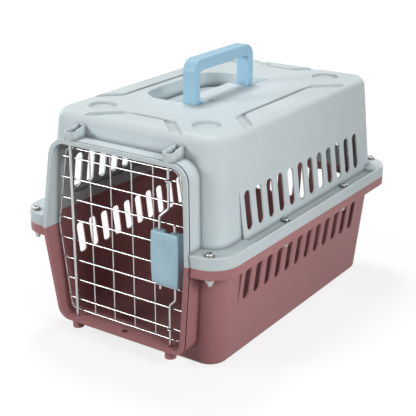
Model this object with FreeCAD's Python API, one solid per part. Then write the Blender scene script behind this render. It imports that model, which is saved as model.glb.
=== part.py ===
import FreeCAD, Part
import math
import os

# Pet carrier: two moulded shells bolted together at a flange, a handle that folds into the roof,
# and a wire door that two sprung rods lock into the header and the sill.
# Millimetres, X to the right, Y to the back, Z up, origin under the middle of the carrier.

Vector = FreeCAD.Vector

# Driving dimensions: the whole carrier
half_length = 231.5
flange_half_width = 160.0
parting_height = 151.3
roof_height = 299.5
wall = 2.3
overrun = 5.0
tiny = 0.01

# Flange that joins the shells, with a gutter along each row of slots
flange_setback = 3.0
flange_corner_radius = 38.0
flange_edge_radius = 2.0
upper_flange_height = 15.7
lower_flange_height = 12.3
side_flange_width = 20.5
front_flange_width = 23.5
rear_flange_width = 20.5
gutter_depth = 3.3

# Walls of the two shells: how far each wall leans in, and their rounded edges
upper_side_draft = 12.0
upper_front_draft = 15.0
upper_rear_draft = 8.5
lower_side_draft = 12.0
lower_front_draft = 13.5
lower_rear_draft = 12.5
front_corner_radius = 26.0
rear_corner_radius = 18.0
roof_edge_radius = 13.0
base_edge_radius = 9.0

# Door frame
rim_inset = 25.0
rim_top_taper = 9.5
rim_bottom_taper = 14.5
header_drop = 28.0
rim_bottom_height = 23.5
rim_top_corner_radius = 24.0
rim_bottom_corner_radius = 17.0
rim_top_lean = 11.8
rim_bottom_lean = 8.2
rim_wall = 5.5
lip_depth = 3.2
lip_groove_width = 2.2
lip_groove_depth = 1.6

# Raised panels that hold the vent slots
panel_front_margin = 54.0
panel_rear_margin = 35.0
panel_rise = 3.4
upper_panel_height = 63.0
lower_panel_height = 77.3
slot_count = 12
slot_front_margin = 16.5
slot_rear_margin = 24.5
slot_width = 14.6
upper_slot_lift = 7.0
upper_slot_height = 49.5
upper_slot_corner_share = 0.46
lower_slot_drop = 29.8
lower_slot_height = 42.0
lower_slot_corner_share = 0.36
rear_slot_count = 7
rear_slot_pitch = 27.2
upper_rear_slot_lift = 16.0
upper_rear_slot_height = 49.5
lower_rear_slot_drop = 11.3
lower_rear_slot_height = 53.0

# Roof: grooves that widen at their ends, dimples and the pocket that the handle folds into
groove_depth = 3.2
groove_slope = 1.4
groove_width = 3.6
groove_end_width = 13.0
groove_corner_radius = 9.0
front_groove_margin = 53.5
front_groove_flare = 45.0
front_groove_half_share = 0.294
rear_groove_margin = 45.5
rear_groove_flare = 27.0
rear_groove_half_share = 0.2
side_groove_margin = 50.0
side_groove_end_margin = 112.5
side_groove_flare = 37.0
dimple_radius = 19.0
dimple_depth = 3.2
dimple_slope = 1.2
dimple_side_share = 0.58
dimple_front_margin = 61.5
dimple_rear_margin = 54.0
pocket_depth = 20.0
pocket_end_room = 17.3
pocket_tongue_room = 10.2
pocket_side_room = 4.8
pocket_slide_room = 11.0
pocket_rear_room = 30.0
pocket_corner_radius = 36.0
pocket_arm_corner = 2.0

# Carry handle
handle_front = -77.0
handle_left = -1.8
handle_length = 141.0
handle_leg = 12.2
handle_width = 19.5
handle_bar = 15.3
handle_rise = 57.2
handle_outer_radius = 17.0
handle_inner_radius = 7.0
handle_edge_radius = 1.4
handle_gap = 0.6
handle_floor_gap = 0.5
front_gusset_length = 12.0
rear_gusset_length = 4.5
gusset_height = 11.5
gusset_foot_height = 2.5
pivot_radius = 4.0
pivot_length = 8.0
pivot_boss_radius = 6.6
snap_rib_gap = 0.3
snap_rib_length = 3.0
snap_rib_height = 4.0
snap_rib_half_width = 4.0

# Bolts, washers and wing nuts
bolt_radius = 2.45
bolt_hole_radius = 2.75
bolt_inset = 10.5
bolt_boss_radius = 6.0
bolt_head_radius = 5.0
bolt_head_height = 3.2
bolt_head_edge = 1.3
bolt_end_length = 1.0
cross_recess_length = 5.6
cross_recess_width = 1.2
cross_recess_depth = 1.6
washer_radius = 6.6
washer_thickness = 1.2
front_bolt_margin = 23.5
rear_bolt_margin = 30.0
side_bolt_shares = [-0.275, 0.411]
nut_hub_radius = 3.8
nut_height = 7.0
nut_boss_radius = 4.2
nut_boss_height = 12.0
nut_wing_span = 11.0
nut_wing_rise = 16.5
nut_wing_thickness = 2.0
nut_wing_shares = [(0.3, 0.06), (0.46, 0.05), (1.0, 0.8), (0.84, 1.0), (0.44, 0.44), (0.3, 0.36)]
front_nut_turn = 30
side_nut_turn = 90

# Rods that carry and lock the door
rod_inset = 39.0
rod_setback = 16.5
hinge_rod_radius = 2.25
latch_rod_radius = 1.75
running_gap = 0.06
keeper_gap = 0.5
hinge_rod_rise = 9.5
hinge_rod_seat_gap = 0.3
header_boss_radius = 8.5
header_boss_half_width = 6.5
header_boss_setback = 3.5
header_boss_front_height = 9.5
header_boss_rear_height = 14.5
header_boss_wall = 2.0
header_boss_floor = 2.0
sill_boss_radius = 7.5
sill_boss_height = 9.5
sill_socket_depth = 12.0
latch_throw = 7.0
latch_travel = 10.0
sill_recess_width = 8.0
sill_recess_depth = 3.0
sill_recess_place = 3.0
vent_hole_radius = 1.1
vent_hole_offset = 13.0

# Door wires
wire_radius = 1.0
door_top_gap = 6.5
door_bottom_gap = 6.8
door_side_gap = 10.2
door_top_taper = 18.3
door_bottom_taper = 15.8
door_corner_radius = 9.0
cross_wire_count = 8
cross_wire_bottom_gap = 16.7
cross_wire_top_gap = 12.0
cross_wire_overhang = 1.6
upright_count = 4
upright_pitch = 32.8
guide_wire_radius = 1.0
guide_gap = 0.35

# Latch: a front half on the upper rod and a rear half on the lower rod
latch_half_width = 19.6
latch_side_bulge = 1.5
latch_drop = 0.5
latch_height = 66.8
latch_reach = 10.5
latch_wire_gap = 0.7
latch_face = 3.8
latch_side = 2.2
latch_stop_gap = 1.8
latch_edge_radius = 1.6
latch_notch_half_width = 6.0
latch_notch_depth = 4.5
latch_slide_gap = 0.3
latch_finger_drop = 4.0
latch_dish_half_width = 13.5
latch_dish_half_height = 26.0
latch_dish_depth = 2.0
latch_dish_centre = 9.0
latch_rod_offset = 11.2
latch_rod_setback = 7.0
latch_rod_end = 10.5
upper_jog_rise = 17.3
lower_jog_drop = 20.9
jog_height = 11.0
jog_radius = 6.5
spring_radius = 3.2
spring_wire = 0.8
spring_pocket_gap = 0.4
spring_pocket_depth = 8.0

# Places worked out from the driving dimensions: the shells
rim_front = -half_length
flange_front = rim_front + flange_setback
flange_rear = half_length
flange_top = parting_height + upper_flange_height
flange_bottom = parting_height - lower_flange_height
gutter_floor = flange_top - gutter_depth
nut_seat = parting_height - wall - nut_boss_height
body_half_width = flange_half_width - side_flange_width
body_front = flange_front + front_flange_width
body_rear = flange_rear - rear_flange_width
rim_half_width = body_half_width - rim_inset
rim_top_half_width = rim_half_width - rim_top_taper
rim_bottom_half_width = rim_half_width - rim_bottom_taper
rim_top_height = roof_height - header_drop
rim_reach = body_front + upper_front_draft + lower_front_draft - rim_front
header_height = rim_top_height - rim_wall
hinge_rod_top = rim_top_height + hinge_rod_rise
sill_height = rim_bottom_height + rim_wall
panel_front = body_front + panel_front_margin
panel_rear = body_rear - panel_rear_margin
upper_panel_top = flange_top + upper_panel_height
lower_panel_bottom = parting_height - lower_panel_height
slot_front = panel_front + slot_front_margin
slot_rear = panel_rear - slot_rear_margin
upper_slot_bottom = flange_top + upper_slot_lift
lower_slot_top = parting_height - lower_slot_drop
lower_rear_slot_top = parting_height - lower_rear_slot_drop

# Places of the handle and its pocket
pocket_floor = roof_height - pocket_depth
pivot_x = handle_left + handle_width / 2
pivot_z = pocket_floor + handle_floor_gap + handle_width / 2
handle_rear = handle_front + handle_length
handle_top_height = roof_height + handle_rise
pocket_left = pivot_x - (handle_top_height - pivot_z) - pocket_end_room
pocket_tongue = handle_left - pocket_tongue_room
pocket_right = handle_left + handle_width + pocket_side_room
pocket_front = handle_front - handle_gap
pocket_front_arm_rear = handle_front + handle_leg + front_gusset_length + pocket_slide_room
pocket_rear_arm_front = handle_rear - handle_leg - rear_gusset_length - handle_gap
pocket_rear = handle_rear + pocket_rear_room

# Places of the door and its latch
rod_spread = rim_half_width - rod_inset
rod_line = rim_front + rod_setback
cross_wire_line = rod_line + hinge_rod_radius + wire_radius
upright_line = cross_wire_line + 2 * wire_radius
door_half_width = rim_half_width - door_side_gap
door_top_half_width = door_half_width - door_top_taper
door_bottom_half_width = door_half_width - door_bottom_taper
door_top_height = header_height - door_top_gap
door_bottom_height = sill_height + door_bottom_gap
cross_wire_first = door_bottom_height + cross_wire_bottom_gap
cross_wire_last = door_top_height - cross_wire_top_gap
cross_wire_pitch = (cross_wire_last - cross_wire_first) / (cross_wire_count - 1)
latch_bottom = parting_height - latch_drop - latch_height / 2
latch_top = latch_bottom + latch_height
latch_front = rod_line - latch_reach
latch_back = cross_wire_line - wire_radius - latch_wire_gap
latch_carrier_height = latch_height / 2 - latch_travel - latch_stop_gap / 2
latch_carrier_bottom = latch_top - latch_carrier_height
latch_rear_top = latch_bottom + latch_carrier_height
latch_rod_line = latch_front + latch_rod_setback
latch_cavity_front = latch_front + latch_face
upper_jog_height = latch_top + upper_jog_rise
lower_jog_height = latch_bottom - lower_jog_drop
spring_line = (latch_cavity_front + latch_back) / 2


def blend(start, end, share):
    """Value a share of the way from start to end."""
    return start + (end - start) * share


def rounded_edges(points, radii, closed):
    """Straight edges through the points, with a tangent arc of its own radius at each corner."""
    count = len(points)
    starts = []
    ends = []
    middles = []
    for index, point in enumerate(points):
        radius = radii[index]
        if radius == 0:
            starts.append(point)
            ends.append(point)
            middles.append(None)
            continue
        back = (points[index - 1] - point).normalize()
        ahead = (points[(index + 1) % count] - point).normalize()
        half_angle = back.getAngle(ahead) / 2
        reach = radius / math.tan(half_angle)
        bisector = (back + ahead).normalize()
        starts.append(point + back * reach)
        ends.append(point + ahead * reach)
        middles.append(point + bisector * (radius / math.sin(half_angle) - radius))
    edges = []
    for index in range(count):
        if middles[index] is not None:
            edges.append(Part.Arc(starts[index], middles[index], ends[index]).toShape())
        if closed or index < count - 1:
            following = (index + 1) % count
            edges.append(Part.LineSegment(ends[index], starts[following]).toShape())
    return edges


def rounded_loop(points, radii):
    return Part.Wire(rounded_edges(points, radii, True))


def prism(points, radii, direction):
    """Solid made by pushing a rounded outline along a direction."""
    return Part.Face(rounded_loop(points, radii)).extrude(direction)


def box(x_low, x_high, y_low, y_high, z_low, z_high):
    return Part.makeBox(x_high - x_low, y_high - y_low, z_high - z_low, Vector(x_low, y_low, z_low))


def upright_cylinder(radius, x, y, z_low, z_high):
    return Part.makeCylinder(radius, z_high - z_low, Vector(x, y, z_low))


def across(radius, x, z, y_low, y_high):
    """Cylinder that lies along Y."""
    return Part.makeCylinder(radius, y_high - y_low, Vector(x, y_low, z), Vector(0, 1, 0))


def mirrored(shape):
    return shape.mirror(Vector(0, 0, 0), Vector(1, 0, 0))


def both_sides(shape):
    return [shape, mirrored(shape)]


def tube(points, radii, radius, closed=False):
    """Round wire bent along a path of straight runs and arcs."""
    edges = rounded_edges(points, radii, closed)
    path = Part.Wire(edges)
    if closed:
        start = edges[-1].valueAt(edges[-1].LastParameter)
        heading = edges[-1].tangentAt(edges[-1].LastParameter)
    else:
        start = points[0]
        heading = points[1] - points[0]
    section = Part.Wire([Part.Circle(start, heading, radius).toShape()])
    return path.makePipeShell([section], True, True)


def plan(half_width, front, rear, front_radius, rear_radius, height):
    """Rounded rectangle seen from above, at one height."""
    points = [
        Vector(-half_width, front, height),
        Vector(half_width, front, height),
        Vector(half_width, rear, height),
        Vector(-half_width, rear, height),
    ]
    return rounded_loop(points, [front_radius, front_radius, rear_radius, rear_radius])


def shell_body(end_height, drafts, inset, from_height, to_height):
    """Tapered tub between two heights, inset by a wall; drafts are reached at end_height."""
    side_draft, front_draft, rear_draft = drafts
    sections = []
    for height in (from_height, to_height):
        share = (height - parting_height) / (end_height - parting_height)
        sections.append(plan(
            body_half_width - side_draft * share - inset,
            body_front + front_draft * share + inset,
            body_rear - rear_draft * share - inset,
            front_corner_radius - inset,
            rear_corner_radius - inset,
            height))
    return Part.makeLoft(sections, True, True)


def edges_at(shape, height):
    found = []
    for edge in shape.Edges:
        limits = edge.BoundBox
        if abs(limits.ZMin - height) < tiny and abs(limits.ZMax - height) < tiny:
            found.append(edge)
    return found


def flange_block(inset, z_low, z_high):
    outline = plan(flange_half_width - inset, flange_front + inset, flange_rear - inset,
                   flange_corner_radius - inset, flange_corner_radius - inset, z_low)
    return Part.Face(outline).extrude(Vector(0, 0, z_high - z_low))


def rim_slice(upper, inset, depth, length):
    """Half of the door frame's outline on its leaning front plane, pushed back along Y."""
    if upper:
        end_height, end_half_width = rim_top_height, rim_top_half_width
        lean, radius = rim_top_lean, rim_top_corner_radius
        end_inset = -inset
    else:
        end_height, end_half_width = rim_bottom_height, rim_bottom_half_width
        lean, radius = rim_bottom_lean, rim_bottom_corner_radius
        end_inset = inset
    slope = lean / (end_height - parting_height)
    height = end_height + end_inset
    end_y = rim_front + depth + slope * (height - parting_height)
    start_y = rim_front + depth
    points = [
        Vector(-rim_half_width + inset, start_y, parting_height),
        Vector(rim_half_width - inset, start_y, parting_height),
        Vector(end_half_width - inset, end_y, height),
        Vector(-end_half_width + inset, end_y, height),
    ]
    return prism(points, [0, 0, radius - inset, radius - inset], Vector(0, length, 0))


def rim_outside(upper):
    """Front lip, the groove behind it and the band that runs back to the front wall."""
    band_start = lip_depth + lip_groove_width
    lip = rim_slice(upper, 0, 0, lip_depth)
    groove = rim_slice(upper, lip_groove_depth, lip_depth, lip_groove_width)
    band = rim_slice(upper, 0, band_start, rim_reach - band_start)
    return lip.fuse([groove, band])


def rim_opening(upper):
    return rim_slice(upper, rim_wall, -overrun, rim_reach + overrun)


def slot_panel(profile):
    """Raised panel from its outline in X and Z, on both sides."""
    points = [Vector(x, panel_front, z) for x, z in profile]
    return both_sides(prism(points, [0] * len(points), Vector(0, panel_rear - panel_front, 0)))


def vent_slots(bottom, height, corner_share):
    """Row of slots through both side walls."""
    tools = []
    top = bottom + height
    corner = slot_width * corner_share
    pitch = (slot_rear - slot_front) / (slot_count - 1)
    reach = flange_half_width - body_half_width / 2
    for index in range(slot_count):
        centre = slot_front + pitch * index
        points = [
            Vector(body_half_width / 2, centre - slot_width / 2, bottom),
            Vector(body_half_width / 2, centre + slot_width / 2, bottom),
            Vector(body_half_width / 2, centre + slot_width / 2, top),
            Vector(body_half_width / 2, centre - slot_width / 2, top),
        ]
        tools += both_sides(prism(points, [corner] * 4, Vector(reach, 0, 0)))
    return tools


def rear_slots(bottom, height, corner_share):
    """Row of slots through the rear wall, short of the flange's skirt."""
    tools = []
    top = bottom + height
    corner = slot_width * corner_share
    reach = rear_flange_width / 2
    for index in range(rear_slot_count):
        left = rear_slot_pitch * (index - (rear_slot_count - 1) / 2) - slot_width / 2
        right = left + slot_width
        points = [
            Vector(left, body_rear - reach, bottom),
            Vector(right, body_rear - reach, bottom),
            Vector(right, body_rear - reach, top),
            Vector(left, body_rear - reach, top),
        ]
        tools.append(prism(points, [corner] * 4, Vector(0, 2 * reach, 0)))
    return tools


def bolt_places():
    """Centre and seat height of each bolt, and the way its nut's wings point."""
    front_x = flange_half_width - front_bolt_margin
    rear_x = flange_half_width - rear_bolt_margin
    side_x = flange_half_width - bolt_inset
    places = []
    for side in (-1, 1):
        places.append((side * front_x, flange_front + bolt_inset, flange_top, side * front_nut_turn))
        places.append((side * rear_x, flange_rear - bolt_inset, flange_top, 0))
        for share in side_bolt_shares:
            places.append((side * side_x, half_length * share, gutter_floor, side_nut_turn))
    return places


def groove_outline(edge, low, high, flare, edge_growth, end_growth):
    """Outline across the roof and out past its edge, as pairs along and outward from the middle."""
    reach = end_growth * math.sqrt(2)
    beyond = edge + half_length
    return [
        (low + edge_growth - reach, edge - edge_growth),
        (high - edge_growth + reach, edge - edge_growth),
        (high + flare + reach, edge + flare),
        (high + flare + reach, beyond),
        (low - flare - reach, beyond),
        (low - flare - reach, edge + flare),
    ]


def roof_groove(place, edge, low, high, flare, growth, drop):
    """Groove with sloped walls round one flat of the roof, grown sideways and dropped for the inner face."""
    depth = groove_depth + drop + overrun
    floor = roof_height - groove_depth - drop
    radii = [groove_corner_radius, groove_corner_radius, 0, 0, 0, 0]
    outer = []
    inner = []
    for rise in (0, depth):
        spread = growth + groove_slope * rise / groove_depth
        far_side = groove_outline(edge, low, high, flare, spread, spread)
        near_side = groove_outline(edge, low, high, flare, -groove_width - spread, -groove_end_width - spread)
        for wires, outline in ((outer, far_side), (inner, near_side)):
            points = []
            for along, outward in outline:
                x, y = place(along, outward)
                points.append(Vector(x, y, floor + rise))
            wires.append(rounded_loop(points, radii))
    return Part.makeLoft(outer, True, True).cut(Part.makeLoft(inner, True, True))


def roof_grooves(growth, drop):
    front_half = body_half_width * front_groove_half_share
    rear_half = body_half_width * rear_groove_half_share
    front = roof_groove(lambda along, outward: (along, -outward), -body_front - front_groove_margin,
                        -front_half, front_half, front_groove_flare, growth, drop)
    rear = roof_groove(lambda along, outward: (along, outward), body_rear - rear_groove_margin,
                       -rear_half, rear_half, rear_groove_flare, growth, drop)
    side = roof_groove(lambda along, outward: (outward, along), body_half_width - side_groove_margin,
                       body_front + side_groove_end_margin, body_rear - side_groove_end_margin,
                       side_groove_flare, growth, drop)
    return [front, rear] + both_sides(side)


def dimples(growth, drop):
    tools = []
    depth = dimple_depth + drop + overrun
    foot = dimple_radius - dimple_slope + growth
    mouth = foot + dimple_slope * depth / dimple_depth
    spread = body_half_width * dimple_side_share
    for x in (-spread, spread):
        for y in (body_front + dimple_front_margin, body_rear - dimple_rear_margin):
            tools.append(Part.makeCone(foot, mouth, depth, Vector(x, y, roof_height + overrun - depth)))
    return tools


def handle_pocket(growth, drop):
    """C-shaped pocket that takes the folded handle."""
    floor = pocket_floor - drop
    large = pocket_corner_radius + growth
    outside = pocket_arm_corner + growth
    inside = pocket_arm_corner
    right = pocket_right + growth
    tongue = pocket_tongue + growth
    points = [
        Vector(pocket_left - growth, pocket_front - growth, floor),
        Vector(right, pocket_front - growth, floor),
        Vector(right, pocket_front_arm_rear + growth, floor),
        Vector(tongue, pocket_front_arm_rear + growth, floor),
        Vector(tongue, pocket_rear_arm_front - growth, floor),
        Vector(right, pocket_rear_arm_front - growth, floor),
        Vector(right, pocket_rear + growth, floor),
        Vector(pocket_left - growth, pocket_rear + growth, floor),
    ]
    radii = [large, outside, outside, inside, inside, outside, outside, large]
    return prism(points, radii, Vector(0, 0, pocket_depth + drop + overrun))


def header_boss(side, inset, bottom):
    """Scoop on the header that rises towards the front wall, or its hollow where it is inset."""
    x = side * rod_spread
    y = rod_line + header_boss_setback
    wall_line = body_front + upper_front_draft
    half = header_boss_half_width - inset
    top = rim_top_height + header_boss_rear_height + inset
    boss = upright_cylinder(header_boss_radius - inset, x, y, bottom, top)
    boss = boss.fuse(box(x - half, x + half, y, wall_line, bottom, top))
    start = rod_line - header_boss_radius
    slope = [
        Vector(x - header_boss_radius, start, rim_top_height + header_boss_front_height + inset),
        Vector(x - header_boss_radius, wall_line, top),
        Vector(x - header_boss_radius, start, top),
    ]
    return boss.cut(prism(slope, [0, 0, 0], Vector(2 * header_boss_radius, 0, 0)))


def upper_shell():
    drafts = (upper_side_draft, upper_front_draft, upper_rear_draft)
    body = shell_body(roof_height, drafts, 0, parting_height, roof_height)
    body = body.makeFillet(roof_edge_radius, edges_at(body, roof_height))
    inner_roof = roof_height - wall
    cabin = shell_body(roof_height, drafts, wall, parting_height - overrun, inner_roof)
    cabin = cabin.makeFillet(roof_edge_radius - wall, edges_at(cabin, inner_roof))

    slope = upper_side_draft / (roof_height - parting_height)
    flange_wall = body_half_width - slope * upper_flange_height
    panel_end = body_half_width - slope * (upper_panel_top - parting_height)
    low = gutter_floor - wall
    outer_panel = slot_panel([
        (flange_wall - wall, low), (flange_wall + panel_rise, low),
        (flange_wall + panel_rise, flange_top), (panel_end, upper_panel_top),
        (panel_end - wall, upper_panel_top)])
    inner_panel = slot_panel([
        (flange_wall - 2 * wall, flange_top), (flange_wall + panel_rise - wall, flange_top),
        (panel_end - wall, upper_panel_top), (panel_end - 2 * wall, upper_panel_top)])

    body = body.cut(roof_grooves(0, 0) + dimples(0, 0) + [handle_pocket(0, 0)])
    cabin = cabin.cut(roof_grooves(wall, wall) + dimples(wall, wall) + [handle_pocket(wall, wall)])
    cabin = cabin.fuse(inner_panel)

    rim = rim_outside(True)
    flange = flange_block(0, parting_height, flange_top)
    flange = flange.makeFillet(flange_edge_radius, edges_at(flange, flange_top))
    flange = flange.cut(both_sides(box(0, flange_half_width - wall, panel_front, panel_rear,
                                       gutter_floor, flange_top + overrun)))
    channel = flange_block(wall, parting_height - overrun, flange_top - wall)
    gutters = both_sides(box(0, flange_half_width, panel_front - wall, panel_rear + wall,
                             gutter_floor - wall, flange_top))
    whole = shell_body(roof_height, drafts, 0, parting_height - overrun, roof_height)
    channel = channel.cut([whole, rim] + gutters)
    shell = body.fuse([flange, rim] + outer_panel)
    shell = shell.cut(channel)

    bosses = []
    for side in (-1, 1):
        bosses.append(header_boss(side, 0, header_height))
    for x, y, seat, turn in bolt_places():
        bosses.append(upright_cylinder(bolt_boss_radius, x, y, parting_height, seat - wall))
    shell = shell.fuse(bosses)

    slots = vent_slots(upper_slot_bottom, upper_slot_height, upper_slot_corner_share)
    slots += rear_slots(flange_top + upper_rear_slot_lift, upper_rear_slot_height, upper_slot_corner_share)
    shell = shell.cut([cabin, rim_opening(True)] + slots)

    front_boss_end = pocket_front - wall - pivot_length
    rear_boss_end = pocket_rear_arm_front - wall - pivot_length
    additions = [
        across(pivot_boss_radius, pivot_x, pivot_z, front_boss_end, pocket_front),
        across(pivot_boss_radius, pivot_x, pivot_z, rear_boss_end, pocket_rear_arm_front),
    ]
    rib_front = handle_front + handle_leg + front_gusset_length + snap_rib_gap
    additions.append(box(pivot_x - snap_rib_half_width, pivot_x + snap_rib_half_width, rib_front,
                         rib_front + snap_rib_length, pocket_floor - wall, pocket_floor + snap_rib_height))
    shell = shell.fuse(additions)

    bore = pivot_radius + running_gap
    cuts = [
        across(bore, pivot_x, pivot_z, front_boss_end + wall, pocket_front + tiny),
        across(bore, pivot_x, pivot_z, rear_boss_end + wall, pocket_rear_arm_front + tiny),
    ]
    for side, radius in ((-1, hinge_rod_radius + running_gap), (1, latch_rod_radius + keeper_gap)):
        hollow = header_boss(side, header_boss_wall, rim_top_height + header_boss_floor)
        cuts.append(hollow.cut(whole))
        cuts.append(upright_cylinder(radius, side * rod_spread, rod_line, header_height - overrun,
                                     roof_height))
    for x, y, seat, turn in bolt_places():
        cuts.append(upright_cylinder(bolt_hole_radius, x, y, parting_height - overrun, flange_top + overrun))
    cuts.append(upright_cylinder(vent_hole_radius, rod_spread - vent_hole_offset, rod_line,
                                 header_height - overrun, rim_top_height + overrun))
    return shell.cut(cuts).removeSplitter()


def lower_shell():
    drafts = (lower_side_draft, lower_front_draft, lower_rear_draft)
    body = shell_body(0, drafts, 0, 0, parting_height)
    body = body.makeFillet(base_edge_radius, edges_at(body, 0))
    cabin = shell_body(0, drafts, wall, wall, parting_height + overrun)
    cabin = cabin.makeFillet(base_edge_radius - wall, edges_at(cabin, wall))

    slope = lower_side_draft / parting_height
    plate = parting_height - wall
    flange_wall = body_half_width - slope * wall
    panel_end = body_half_width - slope * (parting_height - lower_panel_bottom)
    outer_panel = slot_panel([
        (flange_wall - wall, plate), (flange_wall + panel_rise, plate),
        (panel_end, lower_panel_bottom), (panel_end - wall, lower_panel_bottom)])
    inner_panel = slot_panel([
        (flange_wall - 2 * wall, plate - wall), (flange_wall + panel_rise - wall, plate - wall),
        (panel_end - wall, lower_panel_bottom), (panel_end - 2 * wall, lower_panel_bottom)])
    cabin = cabin.fuse(inner_panel)

    rim = rim_outside(False)
    flange = flange_block(0, flange_bottom, parting_height)
    channel = flange_block(wall, flange_bottom - overrun, plate)
    channel = channel.cut([body, rim] + outer_panel)
    shell = body.fuse([flange, rim] + outer_panel).cut(channel)

    bosses = []
    for side in (-1, 1):
        bosses.append(upright_cylinder(sill_boss_radius, side * rod_spread, rod_line,
                                       rim_bottom_height - sill_boss_height, sill_height))
    for x, y, seat, turn in bolt_places():
        bosses.append(upright_cylinder(nut_boss_radius, x, y, nut_seat, parting_height))
    shell = shell.fuse(bosses)
    slots = vent_slots(lower_slot_top - lower_slot_height, lower_slot_height, lower_slot_corner_share)
    slots += rear_slots(lower_rear_slot_top - lower_rear_slot_height, lower_rear_slot_height,
                        lower_slot_corner_share)
    shell = shell.cut([cabin, rim_opening(False)] + slots)

    cuts = []
    for side, radius in ((-1, hinge_rod_radius + running_gap), (1, latch_rod_radius + keeper_gap)):
        cuts.append(upright_cylinder(radius, side * rod_spread, rod_line, sill_height - sill_socket_depth,
                                     sill_height + overrun))
    for x, y, seat, turn in bolt_places():
        cuts.append(upright_cylinder(bolt_hole_radius, x, y, nut_seat - overrun, parting_height + overrun))
    half = sill_recess_width / 2
    cuts.append(box(sill_recess_place - half, sill_recess_place + half, rod_line - half, rod_line + half,
                    sill_height - sill_recess_depth, sill_height + overrun))
    return shell.cut(cuts).removeSplitter()


def carry_handle():
    """Arch with round feet, a gusset on the inside of each leg and a pivot stub on each front face."""
    inner_front = handle_front + handle_leg
    inner_rear = handle_rear - handle_leg
    bar_bottom = handle_top_height - handle_bar
    points = [
        Vector(handle_left, handle_front, pivot_z),
        Vector(handle_left, handle_front, handle_top_height),
        Vector(handle_left, handle_rear, handle_top_height),
        Vector(handle_left, handle_rear, pivot_z),
        Vector(handle_left, inner_rear, pivot_z),
        Vector(handle_left, inner_rear, bar_bottom),
        Vector(handle_left, inner_front, bar_bottom),
        Vector(handle_left, inner_front, pivot_z),
    ]
    outer, inner = handle_outer_radius, handle_inner_radius
    arch = prism(points, [0, outer, outer, 0, 0, inner, inner, 0], Vector(handle_width, 0, 0))
    long_edges = []
    for edge in arch.Edges:
        limits = edge.BoundBox
        if limits.XLength < tiny and limits.ZMax > pivot_z + tiny:
            long_edges.append(edge)
    arch = arch.makeFillet(handle_edge_radius, long_edges)
    pieces = []
    for base, length in ((inner_front, front_gusset_length), (inner_rear, -rear_gusset_length)):
        gusset = [
            Vector(handle_left, base, pivot_z),
            Vector(handle_left, base, pivot_z + gusset_height),
            Vector(handle_left, base + length, pivot_z + gusset_foot_height),
            Vector(handle_left, base + length, pivot_z),
        ]
        pieces.append(prism(gusset, [0] * 4, Vector(handle_width, 0, 0)))
    foot = handle_width / 2
    rear_foot_front = inner_rear - rear_gusset_length
    pieces.append(across(foot, pivot_x, pivot_z, handle_front, inner_front + front_gusset_length))
    pieces.append(across(foot, pivot_x, pivot_z, rear_foot_front, handle_rear))
    pieces.append(across(pivot_radius, pivot_x, pivot_z, handle_front - pivot_length, handle_front))
    pieces.append(across(pivot_radius, pivot_x, pivot_z, rear_foot_front - pivot_length, rear_foot_front))
    return arch.fuse(pieces).removeSplitter()


def flange_bolts():
    bolts = []
    end = nut_seat - nut_height - bolt_end_length
    for x, y, seat, turn in bolt_places():
        under = seat + washer_thickness
        crown = under + bolt_head_height
        shank = upright_cylinder(bolt_radius, x, y, end, under)
        head = upright_cylinder(bolt_head_radius, x, y, under, crown)
        head = head.makeFillet(bolt_head_edge, edges_at(head, crown))
        floor = crown - cross_recess_depth
        long = cross_recess_length / 2
        narrow = cross_recess_width / 2
        top = crown + overrun
        cross = [box(x - long, x + long, y - narrow, y + narrow, floor, top),
                 box(x - narrow, x + narrow, y - long, y + long, floor, top)]
        bolts.append(shank.fuse(head.cut(cross)).removeSplitter())
    return Part.makeCompound(bolts)


def bolt_washers():
    washers = []
    for x, y, seat, turn in bolt_places():
        disc = upright_cylinder(washer_radius, x, y, seat, seat + washer_thickness)
        hole = upright_cylinder(bolt_hole_radius, x, y, seat - overrun, seat + overrun)
        washers.append(disc.cut(hole))
    return Part.makeCompound(washers)


def wing_nuts():
    """Nuts under the flange's bosses, with wings that rise beside the bosses."""
    nuts = []
    bottom = nut_seat - nut_height
    for x, y, seat, turn in bolt_places():
        pieces = []
        for side in (-1, 1):
            outline = []
            for along, rise in nut_wing_shares:
                outline.append(Vector(x + side * nut_wing_span * along, y - nut_wing_thickness / 2,
                                      bottom + nut_wing_rise * rise))
            pieces.append(prism(outline, [0] * len(outline), Vector(0, nut_wing_thickness, 0)))
        hub = upright_cylinder(nut_hub_radius, x, y, bottom, nut_seat)
        bore = upright_cylinder(bolt_radius, x, y, bottom - overrun, nut_seat + overrun)
        nut = hub.fuse(pieces).cut(bore).removeSplitter()
        nuts.append(nut.rotate(Vector(x, y, 0), Vector(0, 0, 1), turn))
    return Part.makeCompound(nuts)


def door_side(height):
    """Half width of the door's edge wire at one height."""
    if height > parting_height:
        share = (height - parting_height) / (door_top_height - parting_height)
        return blend(door_half_width, door_top_half_width, share)
    share = (parting_height - height) / (parting_height - door_bottom_height)
    return blend(door_half_width, door_bottom_half_width, share)


def door_perimeter_wire():
    half = [(door_bottom_half_width, door_bottom_height), (door_half_width, parting_height),
            (door_top_half_width, door_top_height)]
    points = [Vector(x, upright_line, z) for x, z in half]
    points += [Vector(-x, upright_line, z) for x, z in reversed(half)]
    return tube(points, [door_corner_radius] * len(points), wire_radius, closed=True)


def door_cross_wire(index):
    height = cross_wire_first + cross_wire_pitch * index
    reach = door_side(height) + cross_wire_overhang
    return Part.makeCylinder(wire_radius, 2 * reach, Vector(-reach, cross_wire_line, height), Vector(1, 0, 0))


def door_upright_wire(index):
    x = upright_pitch * (index - (upright_count - 1) / 2)
    return upright_cylinder(wire_radius, x, upright_line, door_bottom_height + wire_radius,
                            door_top_height - wire_radius)


def door_hinge_rod():
    seat = sill_height - sill_socket_depth + hinge_rod_seat_gap
    return upright_cylinder(hinge_rod_radius, -rod_spread, rod_line, seat, hinge_rod_top)


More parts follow.
